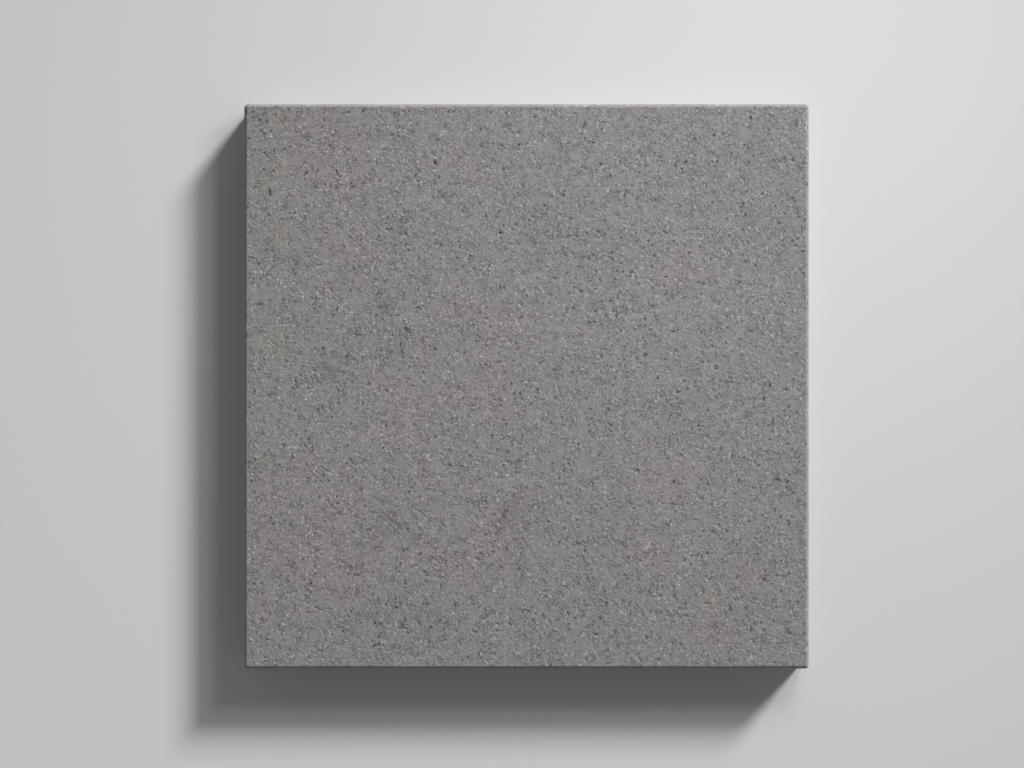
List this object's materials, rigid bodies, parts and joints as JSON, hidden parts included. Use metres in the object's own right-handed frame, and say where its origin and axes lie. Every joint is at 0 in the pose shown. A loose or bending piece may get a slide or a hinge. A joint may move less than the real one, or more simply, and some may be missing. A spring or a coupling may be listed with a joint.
{
  "type": "concrete paving slab",
  "caption": "Square grey concrete paving slab with a bevelled edge round its fine-grained face and spacer nibs on its side walls.",
  "frame": {"origin": "centre of the underside, on the level that the slab rests on", "axes": "+Z up out of the wearing face; X and Y along the slab's sides, +X to the right and +Y up as the face is seen from above"},
  "size_m": [0.6, 0.6, 0.05],
  "materials": {
    "concrete": "matte fine-grained cast concrete, open pores and sand grains"
  },
  "bodies": {
    "root": {"slab": "concrete"}
  },
  "joints": []
}
